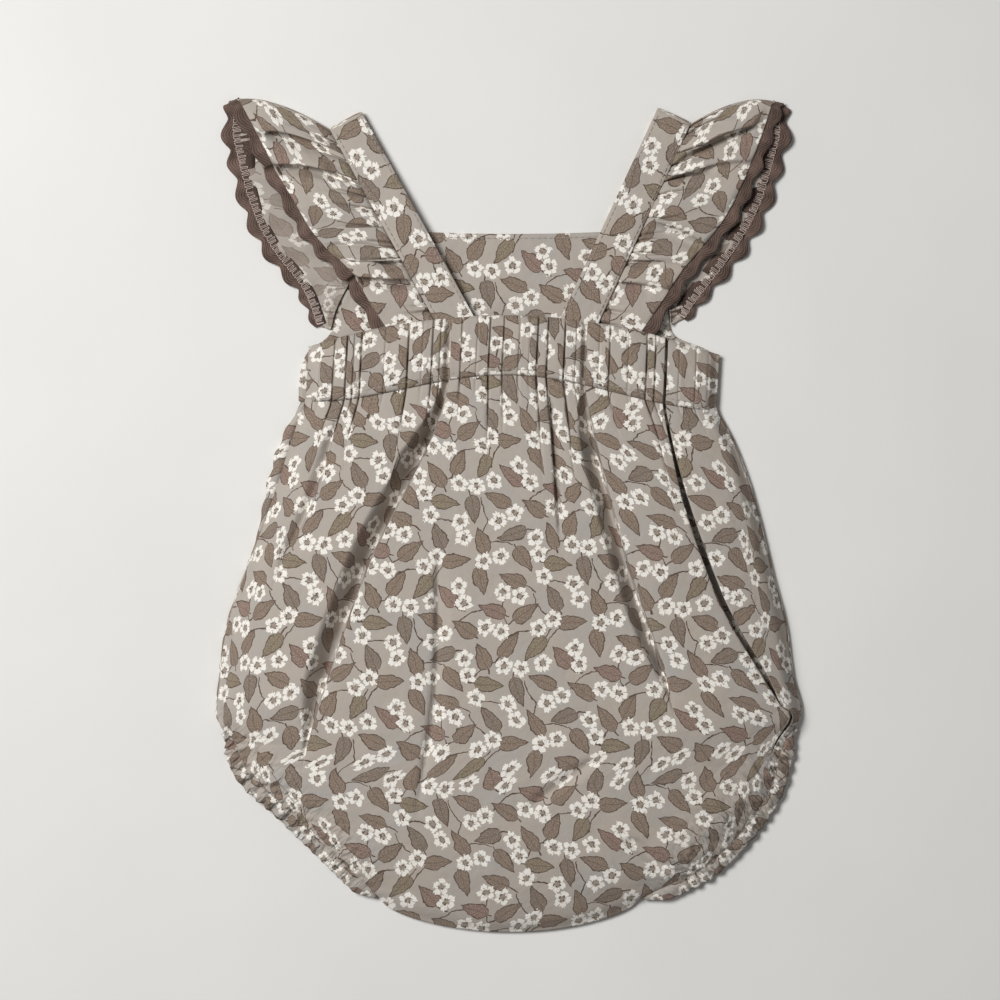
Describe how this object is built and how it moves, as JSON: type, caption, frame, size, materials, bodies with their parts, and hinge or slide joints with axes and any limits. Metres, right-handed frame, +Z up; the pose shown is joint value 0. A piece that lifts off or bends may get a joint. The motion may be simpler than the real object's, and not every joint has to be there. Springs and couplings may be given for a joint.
{
  "type": "baby romper",
  "caption": "Baby's bubble romper laid flat with its back up: gathered bubble body, elasticated back waist, wide straps folded over, flutter ruffles edged with ric-rac.",
  "frame": {"origin": "on the surface that the garment lies on, under the middle of its outline", "axes": "+X across the garment, to the right of someone looking down at its back; +Y from the crotch fold to the shoulders; +Z up, away from the surface"},
  "size_m": [0.2795, 0.3992, 0.0224],
  "materials": {
    "print": "woven cotton, small floral print on warm grey taupe, matt",
    "print_reverse": "the same cotton, one layer, its print showing pale on the wrong side",
    "ricrac": "mauve brown jumbo ric-rac, fine diagonal weave"
  },
  "bodies": {
    "root": {"back_panel": "print", "front_panel": "print", "back_waistband": "print", "front_bodice": "print", "leg_casing_left": "print", "leg_casing_right": "print", "strap_left": "print", "strap_right": "print", "ruffle_left": "print_reverse", "ruffle_right": "print_reverse", "ricrac_left": "ricrac", "ricrac_right": "ricrac"}
  },
  "joints": []
}
